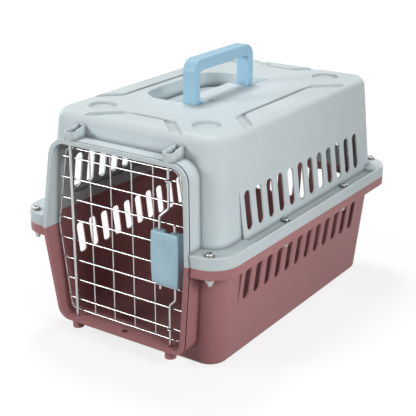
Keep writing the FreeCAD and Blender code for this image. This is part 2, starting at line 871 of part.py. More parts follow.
def rod_guide(index):
    """Wire staple that holds a latch rod against a cross wire."""
    height = cross_wire_first + cross_wire_pitch * index
    bend = latch_rod_radius + guide_gap + guide_wire_radius
    seat = cross_wire_line - wire_radius
    front = rod_line - bend
    points = [
        Vector(rod_spread - bend, seat, height),
        Vector(rod_spread - bend, front, height),
        Vector(rod_spread + bend, front, height),
        Vector(rod_spread + bend, seat, height),
    ]
    return tube(points, [0, bend - tiny, bend - tiny, 0], guide_wire_radius)


def latch_rod(tip, jog_near_tip, side, end):
    """Rod from its locking tip, round a jog, down through the latch to its free end."""
    away = jog_height if jog_near_tip < tip else -jog_height
    inside_x = rod_spread + side * latch_rod_offset
    points = [
        Vector(rod_spread, rod_line, tip),
        Vector(rod_spread, rod_line, jog_near_tip + away),
        Vector(inside_x, latch_rod_line, jog_near_tip),
        Vector(inside_x, latch_rod_line, end),
    ]
    return tube(points, [0, jog_radius, jog_radius, 0], latch_rod_radius)


def upper_latch_rod():
    return latch_rod(header_height + latch_throw, upper_jog_height, -1, latch_bottom - latch_rod_end)


def lower_latch_rod():
    return latch_rod(sill_height - latch_throw, lower_jog_height, 1, latch_top + latch_rod_end)


def rod_bore(side, gap):
    x = rod_spread + side * latch_rod_offset
    return upright_cylinder(latch_rod_radius + gap, x, latch_rod_line, latch_bottom - latch_height,
                            latch_top + latch_height)


def latch_front_slider():
    """Blue thumb piece: a face with side walls and a carrier at the top that grips the upper rod."""
    left = rod_spread - latch_half_width
    right = rod_spread + latch_half_width
    middle = latch_bottom + latch_height / 2
    y = latch_front
    corners = [Vector(left, y, latch_bottom), Vector(right, y, latch_bottom),
               Vector(right, y, latch_top), Vector(left, y, latch_top)]
    outline = Part.Wire([
        Part.LineSegment(corners[0], corners[1]).toShape(),
        Part.Arc(corners[1], Vector(right + latch_side_bulge, y, middle), corners[2]).toShape(),
        Part.LineSegment(corners[2], corners[3]).toShape(),
        Part.Arc(corners[3], Vector(left - latch_side_bulge, y, middle), corners[0]).toShape(),
    ])
    block = Part.Face(outline).extrude(Vector(0, latch_back - latch_front, 0))
    front_edges = [edge for edge in block.Edges if edge.BoundBox.YMax < latch_front + tiny]
    block = block.makeFillet(latch_edge_radius, front_edges)
    inside = latch_half_width - latch_side
    cavity = box(rod_spread - inside, rod_spread + inside, latch_cavity_front, latch_back + overrun,
                 latch_bottom - overrun, latch_carrier_bottom)
    notch = box(rod_spread - latch_notch_half_width, rod_spread + latch_notch_half_width, latch_cavity_front,
                latch_back + overrun, latch_top - latch_notch_depth, latch_top + overrun)
    reach = latch_dish_centre + latch_dish_depth
    spread = math.sqrt(1 - (latch_dish_centre / reach) ** 2)
    stretch = FreeCAD.Matrix()
    chord = reach * spread
    stretch.scale(latch_dish_half_width / chord, 1, latch_dish_half_height / chord)
    dish = Part.makeSphere(reach).transformGeometry(stretch)
    dish.translate(Vector(rod_spread, latch_front - latch_dish_centre, middle))
    pocket = upright_cylinder(spring_radius + spring_pocket_gap, rod_spread, spring_line,
                              latch_carrier_bottom - overrun, latch_carrier_bottom + spring_pocket_depth)
    return block.cut([cavity, notch, dish, pocket, rod_bore(-1, 0), rod_bore(1, running_gap)])


def latch_rear_slider():
    """Finger piece inside the front half, which grips the lower rod."""
    half = latch_half_width - latch_side - latch_slide_gap
    block = box(rod_spread - half, rod_spread + half, latch_cavity_front + latch_slide_gap, latch_back,
                latch_bottom - latch_finger_drop, latch_rear_top)
    pocket = upright_cylinder(spring_radius + spring_pocket_gap, rod_spread, spring_line,
                              latch_rear_top - spring_pocket_depth, latch_rear_top + overrun)
    return block.cut([pocket, rod_bore(1, 0), rod_bore(-1, running_gap)])


def latch_spring():
    """Envelope of the coil spring between the two halves."""
    low = latch_rear_top - spring_pocket_depth
    high = latch_carrier_bottom + spring_pocket_depth
    coil = upright_cylinder(spring_radius, rod_spread, spring_line, low, high)
    return coil.cut(upright_cylinder(spring_radius - spring_wire, rod_spread, spring_line, low, high))


def export(name, shape):
    shape.exportStep("parts/" + name + ".step")
    print(name, len(shape.Solids), shape.isValid(), round(shape.Volume, 1))


os.makedirs("parts", exist_ok=True)
export("lower_shell", lower_shell())
export("upper_shell", upper_shell())
export("carry_handle", carry_handle())
export("flange_bolts", flange_bolts())
export("bolt_washers", bolt_washers())
export("wing_nuts", wing_nuts())
export("door_perimeter_wire", door_perimeter_wire())
for number in range(cross_wire_count):
    export("door_cross_wire_" + str(number + 1), door_cross_wire(number))
for number in range(upright_count):
    export("door_upright_wire_" + str(number + 1), door_upright_wire(number))
export("door_hinge_rod", door_hinge_rod())
export("upper_rod_guide", rod_guide(cross_wire_count - 1))
export("lower_rod_guide", rod_guide(0))
export("upper_latch_rod", upper_latch_rod())
export("lower_latch_rod", lower_latch_rod())
export("latch_front_slider", latch_front_slider())
export("latch_rear_slider", latch_rear_slider())
export("latch_spring", latch_spring())
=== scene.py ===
"""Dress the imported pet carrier: moulded plastics, plated wire door, sprung latch and a pale stage."""

import math

import bpy
from bpy.props import FloatProperty, FloatVectorProperty, IntProperty, PointerProperty
from mathutils import Matrix, Vector


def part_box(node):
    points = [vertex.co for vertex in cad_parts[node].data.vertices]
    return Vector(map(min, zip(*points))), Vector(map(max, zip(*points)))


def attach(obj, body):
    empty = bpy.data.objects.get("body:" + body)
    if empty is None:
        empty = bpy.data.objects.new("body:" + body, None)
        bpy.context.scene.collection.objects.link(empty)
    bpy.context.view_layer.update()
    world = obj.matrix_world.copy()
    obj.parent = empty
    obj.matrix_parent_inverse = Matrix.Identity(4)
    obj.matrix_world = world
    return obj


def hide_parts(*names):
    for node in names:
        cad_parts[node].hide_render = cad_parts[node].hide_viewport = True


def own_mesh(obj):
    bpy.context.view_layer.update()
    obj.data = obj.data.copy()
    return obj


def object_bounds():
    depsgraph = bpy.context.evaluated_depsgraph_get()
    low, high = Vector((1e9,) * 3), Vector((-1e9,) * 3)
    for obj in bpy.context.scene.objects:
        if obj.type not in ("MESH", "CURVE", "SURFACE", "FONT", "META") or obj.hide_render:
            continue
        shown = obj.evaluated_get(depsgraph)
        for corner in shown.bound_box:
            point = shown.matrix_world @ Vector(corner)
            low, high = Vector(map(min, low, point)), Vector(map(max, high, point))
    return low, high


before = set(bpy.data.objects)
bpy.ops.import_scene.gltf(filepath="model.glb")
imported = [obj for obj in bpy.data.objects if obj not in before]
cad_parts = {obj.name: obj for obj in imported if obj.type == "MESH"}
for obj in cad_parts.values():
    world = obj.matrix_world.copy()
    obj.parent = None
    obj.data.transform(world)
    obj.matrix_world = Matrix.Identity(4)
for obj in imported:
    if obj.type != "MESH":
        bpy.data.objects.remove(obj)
cad_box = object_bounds()

bl_info = {
    "name": "Pet Carrier Dressing",
    "version": (1, 0, 0),
    "blender": (4, 5, 0),
    "location": "View3D > Sidebar > Carrier",
    "description": "Gives the pet carrier its plastics, plated steel, coil spring, wing nuts and stage",
    "category": "Object",
}

# Roughness of each surface
TUB_ROUGHNESS = 0.46
LID_ROUGHNESS = 0.48
BLUE_ROUGHNESS = 0.40
WIRE_ROUGHNESS = 0.26
BOLT_ROUGHNESS = 0.24
SMALL_STEEL_ROUGHNESS = 0.30

# Plastic: shades are shares of its colour
PLASTIC_IOR = 1.49
PLASTIC_SPECULAR = 0.25
FLOW_SHADES = (0.965, 1.03)
# Edges are lighter by this share, partly from rubbed wear and partly as a painted highlight
WORN_AND_HIGHLIT_PLASTIC = 1.06
# Painted shade: the plastic's colour darkens to this share in grooves, recesses and inner corners
PAINTED_SHADE_PLASTIC = 0.42
GRAIN_ROUGHNESS = (-0.06, 0.06)
GRAIN_STRENGTH = 0.35
GRAIN_DEPTH = 0.00008

# Steel: shades are shares of its colour, marks are stretched along the wire
TONE_SIZE = 0.02
TONE_SHADES = (0.92, 1.06)
# Edges are lighter by this share, partly from rubbed wear and partly as a painted highlight
WORN_AND_HIGHLIT_STEEL = 1.25
# Painted shade: the steel's colour darkens to this share in recesses and where it meets another piece
PAINTED_SHADE_STEEL = 0.12
MARK_ROUGHNESS = (-0.05, 0.07)
MARK_STRENGTH = 0.25
MARK_DEPTH = 0.00004
ALONG_X = (0.12, 1.0, 1.0)
ALONG_Z = (1.0, 1.0, 0.12)
UNSTRETCHED = (1.0, 1.0, 1.0)

# Detail and roughness of each noise, and the ranges that are stretched to full contrast
FLOW_NOISE = (3.0, 0.55)
TONE_NOISE = (2.0, 0.5)
FINE_NOISE = (2.0, 0.6)
NOISE_RANGE = (0.3, 0.7)
EDGE_RANGE = (0.97, 0.86)
SHELTER_RANGE = (0.45, 0.96)
FULL_RANGE = (0.0, 1.0)
EDGE_SAMPLES = 6
SHELTER_SAMPLES = 8

# Coil spring
COIL_WIRE_SIDES = 10
COIL_STEPS = 20
COIL_WELD = 0.000005
COIL_SMOOTH = math.radians(50)

# Wing nuts: each wing step is its reach, its rise and the shares of height and thickness that it keeps
NUTS_APART = 0.05
TIP_SHARE = 0.9
HUB_SIDES = 24
HUB_END_SLOPE = 0.9
BORE_END_SLOPE = 0.95
BORE_END_OFFSET = 0.0004
WING_SIDE_SLOPE = 0.97
WING_ROOT = (0.0010, 0.0014, 0.72)
WING_STEPS = (
    (0.0012, 0.0028, 0.96, 1.0),
    (0.0014, 0.0032, 1.0, 1.0),
    (0.0012, 0.0026, 0.90, 0.97),
    (0.0008, 0.0012, 0.66, 0.94),
    (0.0005, 0.0004, 0.52, 0.88),
)
NUT_EDGE = 0.00035
NUT_EDGE_STEPS = 2
NUT_EDGE_ANGLE = math.radians(38)
NUT_SMOOTH = math.radians(40)

# Stage: the floor is whiter from the first distance to the second, each lamp has a place, a width and a power
FLOOR_WIDTH = 24.0
FLOOR_DROP = 0.0002
LIFT_RANGE = (0.35, 1.6)
LAMPS = (
    ("top_lamp", (-0.50, 0.40, 1.95), 0.6, 20.5),
    ("right_lamp", (0.98, -0.45, 0.62), 0.5, 8.0),
    ("front_lamp", (-1.05, -1.45, 0.78), 0.6, 17.5),
    ("left_lamp", (-1.75, 0.25, 0.50), 0.8, 6.0),
    ("rear_lamp", (0.15, 1.85, 0.60), 0.8, 9.0),
)
SENSOR_WIDTH = 36.0
CLIP_RANGE = (0.05, 60.0)


def colour_property(name, description, default):
    return FloatVectorProperty(name=name, description=description, default=default, subtype="COLOR",
                               size=3, min=0.0, max=1.0)


def length_property(name, description, default):
    return FloatProperty(name=name, description=description, default=default, unit="LENGTH", precision=5)


class PlasticLook(bpy.types.PropertyGroup):
    """Colours and surface of the moulded pieces."""
    lower: colour_property("Tub", "Colour of the lower shell", (0.420, 0.185, 0.190))
    upper: colour_property("Lid", "Colour of the upper shell", (0.600, 0.672, 0.690))
    handle: colour_property("Handle", "Colour of the carry handle", (0.338, 0.555, 0.708))
    latch: colour_property("Latch", "Colour of the latch halves", (0.460, 0.670, 0.780))
    grain: length_property("Grain", "Size of the fine moulded grain", 0.0011)
    mottle: length_property("Mottle", "Size of the soft flow marks in the plastic", 0.085)
    edge: length_property("Edge", "Radius that softens the moulded edges", 0.0005)
    # This reach sets how far the painted shade spreads from a wall in the moulded grooves, recesses and inner
    # corners
    crevice_shade_reach: length_property("Crevice", "How far from a wall dust gathers in the moulded corners", 0.0075)


class SteelLook(bpy.types.PropertyGroup):
    """Colours and surface of the steel pieces."""
    wire: colour_property("Wire", "Colour of the plated wire", (0.530, 0.530, 0.525))
    plate: colour_property("Fastener", "Colour of the zinc plated fasteners", (0.470, 0.470, 0.465))
    draw_mark: length_property("Draw Marks", "Size of the fine marks along the wire", 0.0009)
    edge: length_property("Edge", "Radius that softens the edges of bolts, washers and nuts", 0.0004)
    # This reach sets how far the painted shade spreads in recesses and where the steel meets another piece
    crevice_shade_reach: length_property("Crevice", "How far from a wall the plating darkens in recesses", 0.0024)


class SpringSize(bpy.types.PropertyGroup):
    """The coil spring inside the latch."""
    turns: IntProperty(name="Turns", description="Turns in each half of the coil", default=6, min=2)
    wire: length_property("Wire", "Thickness of the spring wire", 0.0009)
    travel: length_property("Travel", "How far each latch half pushes the coil together", 0.010)


class WingNutSize(bpy.types.PropertyGroup):
    """The wing nuts under the flange."""
    hub: length_property("Hub", "Radius of the hub where it meets the boss", 0.0039)
    crown: length_property("Crown", "Radius of the hub at its lower end", 0.0032)
    bore: length_property("Bore", "Radius of the hole for the bolt", 0.00245)
    height: length_property("Height", "Height of the hub", 0.0070)
    wing: length_property("Wing", "Thickness of a wing", 0.0020)


class StageLook(bpy.types.PropertyGroup):
    """Camera, lamps and floor."""
    eye: FloatVectorProperty(name="Eye", description="Where the camera stands", subtype="XYZ", unit="LENGTH",
                             default=(0.75189, -1.12771, 0.64587))
    azimuth: FloatProperty(name="Azimuth", description="Camera's turn to the right of the front",
                           subtype="ANGLE", default=math.radians(34.19))
    elevation: FloatProperty(name="Elevation", description="Camera's height above level",
                             subtype="ANGLE", default=math.radians(20.85))
    roll: FloatProperty(name="Roll", description="Camera's lean", subtype="ANGLE", default=math.radians(0.07))
    lens: FloatProperty(name="Lens", description="Focal length in millimetres", default=88.86, min=1.0)
    floor: colour_property("Floor", "Colour of the floor", (0.24, 0.24, 0.24))
    near_lift: FloatProperty(name="Near Lift", description="White added to the seen floor by the carrier",
                             default=0.78, min=0.0)
    far_lift: FloatProperty(name="Far Lift", description="White added to the seen floor far from the carrier",
                            default=1.0, min=0.0)
    ambient: FloatProperty(name="Ambient", description="Strength of the even light", default=0.05, min=0.0)


def cleared_tree(owner):
    """Node tree of a material or a world, with nothing in it."""
    owner.use_nodes = True
    owner.node_tree.nodes.clear()
    return owner.node_tree


def fresh_material(name):
    """Material whose node tree holds only its shader and its output."""
    material = bpy.data.materials.new(name)
    tree = cleared_tree(material)
    output = tree.nodes.new("ShaderNodeOutputMaterial")
    shader = tree.nodes.new("ShaderNodeBsdfPrincipled")
    tree.links.new(shader.outputs["BSDF"], output.inputs["Surface"])
    return material, tree, shader


def map_range(tree, value, source, target):
    """Carry a value from one range to another."""
    node = tree.nodes.new("ShaderNodeMapRange")
    node.inputs["From Min"].default_value, node.inputs["From Max"].default_value = source
    node.inputs["To Min"].default_value, node.inputs["To Max"].default_value = target
    tree.links.new(value, node.inputs["Value"])
    return node.outputs["Result"]


def combine(tree, operation, first, second):
    """Join two values by one step of arithmetic."""
    node = tree.nodes.new("ShaderNodeMath")
    node.operation = operation
    tree.links.new(first, node.inputs[0])
    tree.links.new(second, node.inputs[1])
    return node.outputs[0]


def noise(tree, size, character, stretch=UNSTRETCHED):
    """Noise on object coordinates whose features measure about the given size."""
    detail, roughness = character
    place = tree.nodes.new("ShaderNodeTexCoord")
    mapping = tree.nodes.new("ShaderNodeMapping")
    mapping.inputs["Scale"].default_value = stretch
    texture = tree.nodes.new("ShaderNodeTexNoise")
    texture.inputs["Scale"].default_value = 1.0 / size
    texture.inputs["Detail"].default_value = detail
    texture.inputs["Roughness"].default_value = roughness
    tree.links.new(place.outputs["Object"], mapping.inputs["Vector"])
    tree.links.new(mapping.outputs["Vector"], texture.inputs["Vector"])
    return texture.outputs["Fac"]


def spread(tree, value, target):
    """Stretch a noise value over a range."""
    return map_range(tree, value, NOISE_RANGE, target)


def shade_of(colour, factor):
    return [min(1.0, channel * factor) for channel in colour] + [1.0]


def blend_colours(tree, value, first, second):
    """Mix two colours, each a fixed one or another node's output."""
    node = tree.nodes.new("ShaderNodeMix")
    node.data_type = "RGBA"
    for socket, colour in ((node.inputs["A"], first), (node.inputs["B"], second)):
        if isinstance(colour, bpy.types.NodeSocket):
            tree.links.new(colour, socket)
        else:
            socket.default_value = colour
    tree.links.new(value, node.inputs["Factor"])
    return node.outputs["Result"]


def soft_edges(tree, edge):
    """Normal that rounds every edge by a small radius, and a mask that is one along those edges."""
    bevel = tree.nodes.new("ShaderNodeBevel")
    bevel.samples = EDGE_SAMPLES
    bevel.inputs["Radius"].default_value = edge
    surface = tree.nodes.new("ShaderNodeNewGeometry")
    match = tree.nodes.new("ShaderNodeVectorMath")
    match.operation = "DOT_PRODUCT"
    tree.links.new(bevel.outputs["Normal"], match.inputs[0])
    tree.links.new(surface.outputs["Normal"], match.inputs[1])
    return bevel.outputs["Normal"], map_range(tree, match.outputs["Value"], EDGE_RANGE, FULL_RANGE)


def relief(tree, height, strength, depth, normal):
    """Fine relief laid over a normal."""
    bump = tree.nodes.new("ShaderNodeBump")
    bump.inputs["Strength"].default_value = strength
    bump.inputs["Distance"].default_value = depth
    tree.links.new(height, bump.inputs["Height"])
    tree.links.new(normal, bump.inputs["Normal"])
    return bump.outputs["Normal"]


def painted_crevice_shade(tree, depth, own_shape_only):
    """Mask for painted shade: one on open surfaces, falling to zero in grooves, recesses and inner corners.
    """
    shelter = tree.nodes.new("ShaderNodeAmbientOcclusion")
    shelter.samples = SHELTER_SAMPLES
    shelter.only_local = own_shape_only
    shelter.inputs["Distance"].default_value = depth
    return map_range(tree, shelter.outputs["AO"], SHELTER_RANGE, FULL_RANGE)


def around(middle, offsets):
    return [middle + offset for offset in offsets]


def moulded_plastic(name, colour, roughness, look):
    """Satin moulded plastic: fine grain, soft flow marks, edges lighter by rubbed wear and a painted
    highlight, and painted shade in its grooves, recesses and inner corners.
    """
    material, tree, shader = fresh_material(name)
    flow = spread(tree, noise(tree, look.mottle, FLOW_NOISE), FULL_RANGE)
    tint = blend_colours(tree, flow, *[shade_of(colour, share) for share in FLOW_SHADES])
    normal, edges = soft_edges(tree, look.edge)
    # Edges lighter: partly rubbed wear, partly a painted highlight
    worn_and_highlit = blend_colours(tree, edges, tint, shade_of(colour, WORN_AND_HIGHLIT_PLASTIC))
    # Painted shade: the colour darkens in grooves, recesses and inner corners of the piece
    unshaded_share = painted_crevice_shade(tree, look.crevice_shade_reach, True)
    crevice_shaded = blend_colours(tree, unshaded_share, shade_of(colour, PAINTED_SHADE_PLASTIC), worn_and_highlit)
    tree.links.new(crevice_shaded, shader.inputs["Base Color"])
    grain = noise(tree, look.grain, FINE_NOISE)
    tree.links.new(spread(tree, grain, around(roughness, GRAIN_ROUGHNESS)), shader.inputs["Roughness"])
    tree.links.new(relief(tree, grain, GRAIN_STRENGTH, GRAIN_DEPTH, normal), shader.inputs["Normal"])
    shader.inputs["IOR"].default_value = PLASTIC_IOR
    shader.inputs["Specular IOR Level"].default_value = PLASTIC_SPECULAR
    return material


def plated_steel(name, colour, roughness, stretch, look):
    """Bright plated steel: fine marks, a slight change of tone, edges lighter by rubbed wear and a painted
    highlight, and painted shade in recesses and where it meets another piece.
    """
    material, tree, shader = fresh_material(name)
    tone = spread(tree, noise(tree, TONE_SIZE, TONE_NOISE), FULL_RANGE)
    tint = blend_colours(tree, tone, *[shade_of(colour, share) for share in TONE_SHADES])
    normal, edges = soft_edges(tree, look.edge)
    # Edges lighter: partly rubbed wear, partly a painted highlight
    worn_and_highlit = blend_colours(tree, edges, tint, shade_of(colour, WORN_AND_HIGHLIT_STEEL))
    # Painted shade: the colour darkens in recesses and where the steel meets another piece, as a contact
    # shadow
    unshaded_share = painted_crevice_shade(tree, look.crevice_shade_reach, False)
    dark = blend_colours(tree, unshaded_share, shade_of(colour, PAINTED_SHADE_STEEL), worn_and_highlit)
    tree.links.new(dark, shader.inputs["Base Color"])
    marks = noise(tree, look.draw_mark, FINE_NOISE, stretch)
    tree.links.new(spread(tree, marks, around(roughness, MARK_ROUGHNESS)), shader.inputs["Roughness"])
    tree.links.new(relief(tree, marks, MARK_STRENGTH, MARK_DEPTH, normal), shader.inputs["Normal"])
    shader.inputs["Metallic"].default_value = 1.0
    return material


def paint(names, material):
    """Put a material in the slot of each CAD node."""
    for name in names:
        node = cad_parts[name]
        if not node.material_slots:
            node.data.materials.append(material)
        node.material_slots[0].material = material


def nodes_starting(prefix):
    found = sorted(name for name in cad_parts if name.startswith(prefix))
    if not found:
        raise RuntimeError("the frame has no node that starts with " + prefix)
    return found


def leave_edit_mode():
    if bpy.context.object and bpy.context.object.mode != "OBJECT":
        bpy.ops.object.mode_set(mode="OBJECT")


def start_piece():
    """Deselect everything before a new primitive is added."""
    leave_edit_mode()
    bpy.ops.object.select_all(action="DESELECT")


def pick_faces(piece, test):
    """Select the faces that pass a test, in face mode."""
    bpy.ops.object.mode_set(mode="EDIT")
    bpy.ops.mesh.select_mode(type="FACE")
    bpy.ops.mesh.select_all(action="DESELECT")
    bpy.ops.object.mode_set(mode="OBJECT")
    for polygon in piece.data.polygons:
        polygon.select = test(polygon)
    bpy.ops.object.mode_set(mode="EDIT")


def settle(piece):
    """Leave the piece's place in its mesh, with its object at the origin."""
    leave_edit_mode()
    bpy.ops.object.select_all(action="DESELECT")
    piece.select_set(True)
    bpy.context.view_layer.objects.active = piece
    bpy.ops.object.transform_apply(location=True, rotation=True, scale=True)


def apply_modifiers(piece):
    bpy.context.view_layer.objects.active = piece
    for modifier in list(piece.modifiers):
        bpy.ops.object.modifier_apply(modifier=modifier.name)


def dress(piece, name, material, body, node):
    """Name a finished piece and seat it on its body in place of its CAD node."""
    piece.name = name
    piece.data.name = name
    piece.data.materials.clear()
    piece.data.materials.append(material)
    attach(piece, body)
    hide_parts(node)


def group_places(name, apart):
    """Middle of each separate solid in a node, seen from above, and the way its longest reach points."""
    groups = []
    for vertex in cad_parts[name].data.vertices:
        for group in groups:
            if (vertex.co.xy - group[0]).length < apart:
                group.append(vertex.co.xy)
                break
        else:
            groups.append([vertex.co.xy])
    places = []
    for group in groups:
        xs = [point.x for point in group]
        ys = [point.y for point in group]
        middle = Vector(((min(xs) + max(xs)) / 2, (min(ys) + max(ys)) / 2))
        reach = max((point - middle).length for point in group)
        tips = [point - middle for point in group if (point - middle).length > TIP_SHARE * reach]
        across = sum(2 * tip.x * tip.y for tip in tips)
        along = sum(tip.x ** 2 - tip.y ** 2 for tip in tips)
        places.append((middle.x, middle.y, math.atan2(across, along) / 2))
    return places


class CARRIER_OT_mould_shells(bpy.types.Operator):
    """Give the tub and the lid their moulded plastic"""
    bl_idname = "carrier.mould_shells"
    bl_label = "Mould Shells"

    def execute(self, context):
        look = context.scene.carrier_plastic
        paint(["lower_shell"], moulded_plastic("rose_tub_plastic", look.lower, TUB_ROUGHNESS, look))
        paint(["upper_shell"], moulded_plastic("pale_lid_plastic", look.upper, LID_ROUGHNESS, look))
        return {"FINISHED"}


class CARRIER_OT_mould_handle(bpy.types.Operator):
    """Give the carry handle its light blue plastic"""
    bl_idname = "carrier.mould_handle"
    bl_label = "Mould Handle"

    def execute(self, context):
        look = context.scene.carrier_plastic
        material = moulded_plastic("blue_handle_plastic", look.handle, BLUE_ROUGHNESS, look)
        paint(["carry_handle"], material)
        return {"FINISHED"}


class CARRIER_OT_mould_latch(bpy.types.Operator):
    """Give both latch halves their blue plastic"""
    bl_idname = "carrier.mould_latch"
    bl_label = "Mould Latch"

    def execute(self, context):
        look = context.scene.carrier_plastic
        material = moulded_plastic("blue_latch_plastic", look.latch, BLUE_ROUGHNESS, look)
        paint(["latch_front_slider", "latch_rear_slider"], material)
        return {"FINISHED"}


class CARRIER_OT_plate_door(bpy.types.Operator):
    """Plate the wires, the hinge rod, the latch rods and their guides"""
    bl_idname = "carrier.plate_door"
    bl_label = "Plate Door Wires"

    def execute(self, context):
        look = context.scene.carrier_steel
        level = plated_steel("level_wire_plating", look.wire, WIRE_ROUGHNESS, ALONG_X, look)
        upright = plated_steel("upright_wire_plating", look.wire, WIRE_ROUGHNESS, ALONG_Z, look)
        paint(nodes_starting("door_cross_wire"), level)
        paint(nodes_starting("door_upright_wire"), upright)
        paint(["door_perimeter_wire", "door_hinge_rod", "upper_latch_rod", "lower_latch_rod"], upright)
        paint(["upper_rod_guide", "lower_rod_guide"], level)
        return {"FINISHED"}


class CARRIER_OT_plate_bolts(bpy.types.Operator):
    """Plate the flange bolts and their washers"""
    bl_idname = "carrier.plate_bolts"
    bl_label = "Plate Bolts"

    def execute(self, context):
        look = context.scene.carrier_steel
        bolts = plated_steel("bolt_zinc", look.plate, BOLT_ROUGHNESS, UNSTRETCHED, look)
        washers = plated_steel("washer_zinc", look.plate, SMALL_STEEL_ROUGHNESS, UNSTRETCHED, look)
        paint(["flange_bolts"], bolts)
        paint(["bolt_washers"], washers)
        return {"FINISHED"}


class CARRIER_OT_wind_spring(bpy.types.Operator):
    """Wind the coil spring that pushes the latch halves apart, one half of it for each latch half"""
    bl_idname = "carrier.wind_spring"
    bl_label = "Wind Latch Spring"

    def execute(self, context):
        size = context.scene.carrier_spring
        look = context.scene.carrier_steel
        low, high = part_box("latch_spring")
        middle = (low + high) / 2
        length = (high.z - low.z - size.wire) / 2
        steel = plated_steel("spring_wire", look.wire, SMALL_STEEL_ROUGHNESS, UNSTRETCHED, look)
        radius = (high.x - low.x) / 2 - size.wire / 2
        start = low.z + size.wire / 2
        for name, body, joint, foot, anchor in (
                ("latch_coil_lower", "latch_lower", "upper_rod_slide", start, low.z),
                ("latch_coil_upper", "latch_upper", "lower_rod_slide", start + length, high.z)):
            piece = self.wind(size, radius, length, (middle.x, middle.y, foot))
            dress(piece, name, steel, body, "latch_spring")
            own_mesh(piece)
        return {"FINISHED"}

    def wind(self, size, radius, length, place):
        """Turn a small disc along a helix and set the coil at its place."""
        start_piece()
        bpy.ops.mesh.primitive_circle_add(vertices=COIL_WIRE_SIDES, radius=size.wire / 2, fill_type="NGON",
                                          location=(radius, 0.0, 0.0), rotation=(math.pi / 2, 0.0, 0.0))
        piece = bpy.context.object
        settle(piece)
        screw = piece.modifiers.new("winding", "SCREW")
        screw.axis = "Z"
        screw.angle = 2 * math.pi * size.turns
        screw.screw_offset = length
        screw.steps = COIL_STEPS * size.turns
        screw.render_steps = screw.steps
        screw.use_normal_calculate = True
        apply_modifiers(piece)
        bpy.ops.object.mode_set(mode="EDIT")
        bpy.ops.mesh.select_all(action="SELECT")
        bpy.ops.mesh.remove_doubles(threshold=COIL_WELD)
        bpy.ops.mesh.normals_make_consistent(inside=False)
        bpy.ops.transform.translate(value=place)
        bpy.ops.object.mode_set(mode="OBJECT")
        bpy.ops.object.shade_smooth_by_angle(angle=COIL_SMOOTH)
        return piece


class CARRIER_OT_forge_wing_nuts(bpy.types.Operator):
    """Forge one wing nut and set a copy under each flange bolt"""
    bl_idname = "carrier.forge_wing_nuts"
    bl_label = "Forge Wing Nuts"

    def execute(self, context):
        size = context.scene.carrier_wing_nut
        look = context.scene.carrier_steel
        places = group_places("wing_nuts", NUTS_APART)
        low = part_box("wing_nuts")[0]
        start_piece()
        bpy.ops.mesh.primitive_cylinder_add(vertices=HUB_SIDES, radius=size.hub, depth=size.height,
                                            location=(0.0, 0.0, size.height / 2))
        nut = context.object
        settle(nut)
        self.taper_hub(nut, size)
        for side in (-1, 1):
            self.draw_wing(nut, side, size)
        self.bore_hub(nut, size)
        self.soften(nut)
        copies = []
        for x, y, turn in places:
            copy = nut.copy()
            copy.data = nut.data.copy()
            context.collection.objects.link(copy)
            copy.location = (x, y, low.z)
            copy.rotation_euler.z = turn
            copies.append(copy)
        bpy.data.objects.remove(nut)
        start_piece()
        for copy in copies:
            copy.select_set(True)
        context.view_layer.objects.active = copies[0]
        bpy.ops.object.join()
        piece = context.object
        settle(piece)
        bpy.ops.object.shade_smooth_by_angle(angle=NUT_SMOOTH)
        steel = plated_steel("nut_zinc", look.plate, SMALL_STEEL_ROUGHNESS, UNSTRETCHED, look)
        dress(piece, "forged_wing_nuts", steel, "carcass", "wing_nuts")
        return {"FINISHED"}

    def taper_hub(self, nut, size):
        pick_faces(nut, lambda polygon: polygon.normal.z < -HUB_END_SLOPE)
        share = size.crown / size.hub
        bpy.ops.transform.resize(value=(share, share, 1.0))

    def draw_wing(self, nut, side, size):
        """Pull the hub's side out and up into a flat wing with a rounded tip."""
        pick_faces(nut, lambda polygon: side * polygon.normal.x > WING_SIDE_SLOPE)
        half = size.hub * math.sin(2 * math.pi / HUB_SIDES)
        narrow = size.wing / 2 / half
        for reach, rise, tall, flat in ((*WING_ROOT, narrow), *WING_STEPS):
            bpy.ops.mesh.extrude_region_move(TRANSFORM_OT_translate={"value": (side * reach, 0.0, rise)})
            bpy.ops.transform.resize(value=(1.0, flat, tall))
        bpy.ops.object.mode_set(mode="OBJECT")

    def ends_bore(self, polygon):
        """Whether a face lies across the hub's axis."""
        return abs(polygon.normal.z) > BORE_END_SLOPE and polygon.center.xy.length < BORE_END_OFFSET

    def bore_hub(self, nut, size):
        """Open a hole through the hub for the bolt."""
        pick_faces(nut, self.ends_bore)
        bpy.ops.mesh.inset(thickness=size.crown - size.bore, depth=0.0)
        bpy.ops.object.mode_set(mode="OBJECT")
        for polygon in nut.data.polygons:
            polygon.select = self.ends_bore(polygon)
        bpy.ops.object.mode_set(mode="EDIT")
        bpy.ops.mesh.bridge_edge_loops()
        bpy.ops.mesh.select_all(action="SELECT")
        bpy.ops.mesh.normals_make_consistent(inside=False)
        bpy.ops.object.mode_set(mode="OBJECT")

    def soften(self, nut):
        bevel = nut.modifiers.new("rounded edges", "BEVEL")
        bevel.width = NUT_EDGE
        bevel.segments = NUT_EDGE_STEPS
        bevel.limit_method = "ANGLE"
        bevel.angle_limit = NUT_EDGE_ANGLE
        apply_modifiers(nut)


